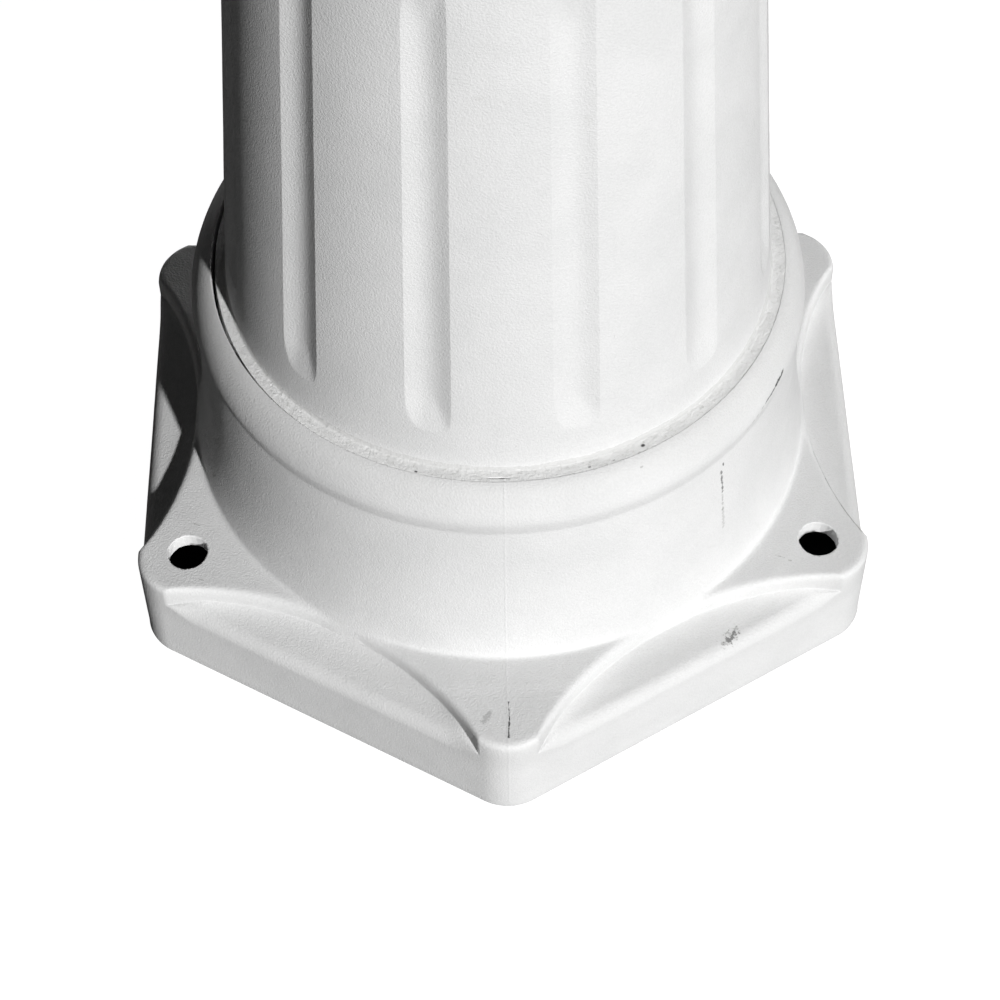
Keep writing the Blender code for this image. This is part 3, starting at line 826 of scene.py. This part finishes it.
def foot_marks():
    """Scuffs, specks, a hairline crack and a painted shadow line along a pad's lip: two ends, width,
    raggedness, strength and colour of each.
    """
    dark, dirt_and_shade_grey = (0.04, 0.04, 0.04), (0.22, 0.22, 0.21)
    return (
        (bell_place(-45.6, 99.5), bell_place(-45.5, 98.5), 0.5, 0.4, 0.8, dark),
        (bell_place(-45.9, 96.0), bell_place(-45.4, 84.0), 0.45, 0.9, 0.7, dark),
        (bell_place(-45.4, 84.0), bell_place(-45.2, 74.0), 0.35, 0.9, 0.45, dirt_and_shade_grey),
        (bell_place(-45.2, 74.0), bell_place(-45.1, 65.0), 0.7, 1.2, 0.35, dirt_and_shade_grey),
        (round_place(-26.6, 103.95, 113.2), round_place(-29.6, 104.15, 112.2), 0.95, 0.9, 0.9, dark),
        (round_place(-29.6, 104.15, 112.2), round_place(-33.8, 104.2, 111.2), 0.55, 0.5, 0.75, dark),
        (round_place(-34.5, 104.2, 111.0), round_place(-39.6, 104.1, 108.0), 0.28, 0.4, 0.4, dark),
        ((75.6, -99.4, 31.0), (79.3, -95.2, 31.4), 1.5, 4.5, 0.45, dirt_and_shade_grey),
        ((76.4, -98.6, 31.2), (78.6, -96.0, 31.3), 1.0, 4.0, 0.6, dark),
        ((70.0, -93.4, 31.6), (70.7, -93.2, 31.6), 0.4, 0.3, 0.6, dirt_and_shade_grey),
        ((87.7, -82.7, 31.6), (88.3, -82.4, 31.6), 0.45, 0.3, 0.55, dirt_and_shade_grey),
        ((52.6, -94.9, 33.5), (53.1, -94.7, 33.5), 0.45, 0.3, 0.6, dirt_and_shade_grey),
        ((94.5, -70.1, 40.0), (97.5, -71.2, 40.0), 0.25, 0.5, 0.5, dirt_and_shade_grey),
        ((98.8, -72.2, 40.0), (99.6, -72.4, 40.0), 0.35, 0.3, 0.5, dirt_and_shade_grey),
        ((-108.2, -51.6, 40.0), (-106.6, -52.2, 40.0), 0.35, 0.4, 0.5, dirt_and_shade_grey),
        ((-105.4, -75.0, 40.0), (-103.9, -75.6, 40.0), 0.3, 0.4, 0.35, dirt_and_shade_grey),
        ((0.35, -127.0, 40.0), (0.55, -133.6, 40.0), 0.26, 0.35, 0.85, dark),
        ((0.55, -133.6, 40.0), (0.1, -140.6, 39.9), 0.34, 0.35, 0.95, dark),
        ((-6.0, -131.2, 40.0), (-7.9, -134.2, 40.0), 1.3, 1.6, 0.32, dark),
        # painted shadow: three strokes along the lip between the right pad and its scoop, in place of a shaded
        # crease
        ((112.0, -25.0, 39.2), (115.3, -37.2, 39.2), 0.5, 0.3, 0.35, dirt_and_shade_grey),
        ((115.3, -37.2, 39.2), (119.8, -48.9, 39.2), 0.65, 0.3, 0.65, dirt_and_shade_grey),
        ((119.8, -48.9, 39.2), (125.5, -60.1, 39.2), 0.9, 0.3, 0.8, dirt_and_shade_grey),
        (round_place(-64.3, 100.4, 121.0), round_place(-63.9, 100.4, 121.0), 0.4, 0.3, 0.5, dirt_and_shade_grey),
        (round_place(1.1, 114.2, 37.0), round_place(1.6, 114.2, 37.0), 0.45, 0.3, 0.5, dirt_and_shade_grey),
    )


# Painted shade that dims the highlights on the bead's top and the ledge's rounded edge: heights at which the
# band begins, is full, fades and ends, and its share
HIGHLIGHT_SHADE_BANDS = ((112.0, 120.0, 130.0, 131.0, 0.52), (21.0, 29.0, 31.6, 38.0, 0.28))


def moulded_plastic(name, tone, grain, specks, marks=(), shaded_bands=()):
    """Satin white polyethylene: mottled, with a fine grain, dust specks, handling marks, and painted shade in
    some bands and marks.
    """
    shader = Shader(name)
    mottle = shader.noise(38.0, 4.0, 0.55)
    pale = tuple(tone * c for c in (1.0, 1.0, 0.998))
    dull = tuple(tone * c for c in (0.955, 0.957, 0.955))
    colour = shader.mix(shader.remap(mottle, 0.35, 0.68, 0.0, 1.0), pale, dull)
    # painted shade: each band darkens the surface where the light makes it brightest
    for band in shaded_bands:
        colour = shader.mix(shader.band(*band), colour, tuple(tone * c for c in (0.80, 0.80, 0.795)))
    dust = shader.noise(900.0, 1.0, 0.4)
    colour = shader.mix(shader.remap(dust, specks, specks + 0.05, 0.0, 0.55), colour, (0.42, 0.42, 0.41))
    smudge = shader.noise(90.0, 3.0, 0.7, distortion=0.6)
    colour = shader.mix(shader.remap(smudge, 0.66, 0.80, 0.0, 0.25), colour, (0.5, 0.5, 0.48))
    fine = shader.noise(1500.0, 1.0, 0.6)
    colour = shader.mix(shader.remap(fine, 0.36, 0.66, 0.0, 0.08), colour, (0.30, 0.30, 0.30))
    for start, end, width, wobble, strength, stain in marks:
        share = shader.math("MULTIPLY", mark(shader, start, end, width, wobble), strength)
        colour = shader.mix(share, colour, stain)
    normal = shader.bump(shader.noise(420.0, 2.0, 0.5), 0.012 * grain)
    normal = shader.bump(shader.noise(900.0, 1.0, 0.5), 0.022 * grain, normal)
    normal = shader.bump(fine, 0.17 * grain, normal)
    rough = shader.remap(shader.noise(160.0, 3.0, 0.6), 0.3, 0.7, 0.54, 0.70)
    return shader.finish(colour, rough, normal, specular=0.25)


# Pits in the sealant: direction in degrees, radius, width and darkness
SEALANT_PITS = ((-62.0, 94.5, 0.68, 0.95), (-73.5, 95.4, 0.42, 0.7),
                (-68.6, 95.6, 0.3, 0.45), (-106.9, 95.9, 0.42, 0.9))
SEALANT_PIT_Z = 123.1


def sealant_material():
    shader = Shader("sealant_white")
    mottle = shader.noise(140.0, 4.0, 0.6)
    colour = shader.mix(shader.remap(mottle, 0.35, 0.7, 0.0, 1.0), (0.68, 0.68, 0.675), (0.63, 0.63, 0.625))
    grime = shader.noise(620.0, 3.0, 0.7)
    colour = shader.mix(shader.remap(grime, 0.54, 0.74, 0.0, 0.6), colour, (0.42, 0.42, 0.40))
    # painted shade: the fillet rising up the column's foot is darkened to dim its highlight
    colour = shader.mix(shader.band(123.15, 123.5, 130.0, 131.0, 0.9), colour, (0.50, 0.50, 0.495))
    for angle, radius, width, darkness in SEALANT_PITS:
        ends = [round_place(angle + step, radius, SEALANT_PIT_Z) for step in (0.0, 0.2)]
        pit = mark(shader, *ends, width, 0.15)
        colour = shader.mix(shader.math("MULTIPLY", pit, darkness), colour, (0.02, 0.02, 0.02))
    normal = shader.bump(shader.noise(700.0, 3.0, 0.6), 0.20)
    normal = shader.bump(shader.noise(1500.0, 1.0, 0.6), 0.16, normal)
    rough = shader.remap(shader.noise(300.0), 0.3, 0.7, 0.6, 0.8)
    return shader.finish(colour, rough, normal, specular=0.2)


def metal(name, tone, stretch, rough_low, rough_high):
    """Bare metal with fine marks drawn out in one direction."""
    shader = Shader(name)
    mapping = shader.node("ShaderNodeMapping")
    shader.link(shader.place, mapping, "Vector")
    mapping.inputs["Scale"].default_value = stretch
    lines = shader.noise(900.0, 3.0, 0.7, place=mapping.outputs["Vector"])
    stain = shader.noise(120.0, 3.0, 0.6)
    dark = tuple(0.78 * c for c in tone)
    colour = shader.mix(shader.remap(stain, 0.4, 0.75, 0.0, 1.0), tone, dark)
    rough = shader.remap(lines, 0.3, 0.7, rough_low, rough_high)
    normal = shader.bump(lines, 0.02)
    return shader.finish(colour, rough, normal, 1.0)


def dress(pieces, material):
    for piece in pieces:
        piece.data.materials.clear()
        piece.data.materials.append(material)


# ---------------------------------------------------------------- studio

def camera_frame():
    """Camera axes before its turn about the upright axis."""
    tilt = math.radians(CAMERA_ELEVATION)
    back = Vector((0.0, -math.cos(tilt), math.sin(tilt)))
    right = Vector((1.0, 0.0, 0.0))
    up = back.cross(right)
    roll = math.radians(CAMERA_ROLL)
    rolled_right = math.cos(roll) * right + math.sin(roll) * up
    rolled_up = -math.sin(roll) * right + math.cos(roll) * up
    return rolled_right, rolled_up, back


def build_camera():
    right, up, back = camera_frame()
    place = (Vector(CAMERA_TARGET) + CAMERA_DISTANCE * back) * MM
    axes = Matrix((right, up, back)).transposed().to_4x4()
    camera_data = bpy.data.cameras.new("camera")
    camera_data.sensor_width = CAMERA_SENSOR
    camera_data.lens = CAMERA_LENS
    camera_data.shift_x, camera_data.shift_y = CAMERA_SHIFT
    camera_data.clip_start = 0.01
    camera_data.clip_end = 50.0
    camera = bpy.data.objects.new("camera", camera_data)
    bpy.context.scene.collection.objects.link(camera)
    turn = Matrix.Rotation(math.radians(CAMERA_TURN), 4, "Z")
    camera.matrix_world = turn @ Matrix.Translation(place) @ axes
    bpy.context.scene.camera = camera


def sun(name, azimuth, elevation, strength, width):
    """A far light, given by the direction that it shines from."""
    data = bpy.data.lights.new(name, "SUN")
    data.energy = strength
    data.angle = math.radians(width)
    lamp = bpy.data.objects.new(name, data)
    turn, tilt = math.radians(azimuth), math.radians(elevation)
    towards = Vector((math.cos(turn) * math.cos(tilt), math.sin(turn) * math.cos(tilt), math.sin(tilt)))
    lamp.rotation_euler = towards.to_track_quat("Z", "Y").to_euler()
    lamp.location = towards * 3.0
    bpy.context.scene.collection.objects.link(lamp)


def build_world(strength):
    world = bpy.data.worlds.new("studio")
    world.use_nodes = True
    tree = world.node_tree
    background = tree.nodes["Background"]
    background.inputs["Color"].default_value = (1.0, 1.0, 1.0, 1.0)
    path = tree.nodes.new("ShaderNodeLightPath")
    level = tree.nodes.new("ShaderNodeMapRange")
    level.inputs["To Min"].default_value = strength
    level.inputs["To Max"].default_value = 1.0
    tree.links.new(path.outputs["Is Camera Ray"], level.inputs["Value"])
    tree.links.new(level.outputs["Result"], background.inputs["Strength"])
    bpy.context.scene.world = world


def floor_part(name, rings, glow):
    """A flat part of the floor between two outlines; glow is the part's own brightness."""
    profiles = np.zeros((len(FLOOR_DIRECTIONS), len(rings), 2))
    for index, ring in enumerate(rings):
        profiles[:, index, 0] = ring
    profiles[..., 1] = FLOOR_Z
    part = finish_mesh(name, skin(to_space(profiles, FLOOR_DIRECTIONS), False), None, ())
    part.data.flip_normals()
    part.visible_glossy = False
    shader = Shader(name + "_pale")
    shade = shader.noise(3.0, 2.0)
    colour = shader.mix(shader.remap(shade, 0.3, 0.7, 0.0, 1.0), (0.155, 0.155, 0.155), (0.145, 0.145, 0.145))
    shader.link(colour, shader.principled, "Base Color")
    shader.principled.inputs["Roughness"].default_value = 1.0
    shader.principled.inputs["Specular IOR Level"].default_value = 0.0
    shader.principled.inputs["Emission Color"].default_value = (1.0, 1.0, 1.0, 1.0)
    seen = shader.node("ShaderNodeLightPath").outputs["Is Camera Ray"]
    shader.link(shader.math("MULTIPLY", seen, glow), shader.principled, "Emission Strength")
    dress([part], shader.material)


def build_floor():
    """The floor glows to the camera as a bright sweep does, but is plain dark under the hollow foot."""
    under = np.array([wall_radius((angle + 30.0) % 60.0 - 30.0) for angle in FLOOR_DIRECTIONS])
    under -= 0.5 * WALL
    floor_part("floor", (under, 400.0, 1500.0, 6000.0), 1.0)
    floor_part("floor_under_foot", (0.0, under), 0.0)


# ---------------------------------------------------------------- the scene

foot = build_foot()
column = build_column()
sealant = build_sealant()
plate = build_plate()
fixings = build_fixings()

dress([foot], moulded_plastic("foot_polyethylene", FOOT_TONE, GRAIN, SPECKS, foot_marks(), HIGHLIGHT_SHADE_BANDS))
dress([column], moulded_plastic("column_white", COLUMN_TONE, GRAIN, SPECKS))
dress([sealant], sealant_material())
dress([plate], metal("brushed_aluminium", (0.72, 0.73, 0.74), (1.0, 0.06, 1.0), 0.25, 0.5))
dress(fixings["screw"], metal("screw_steel", (0.62, 0.61, 0.59), (1.0, 1.0, 0.3), 0.18, 0.4))
dress(fixings["washer"], metal("washer_steel", (0.66, 0.66, 0.65), (1.0, 0.3, 1.0), 0.25, 0.45))

build_camera()
sun("key", *KEY_LIGHT)
sun("right_fill", *RIGHT_FILL)
sun("rear_fill", *REAR_FILL)
build_world(WORLD_STRENGTH)
build_floor()
bpy.context.scene.view_settings.view_transform = "Standard"
bpy.context.scene.view_settings.look = "None"
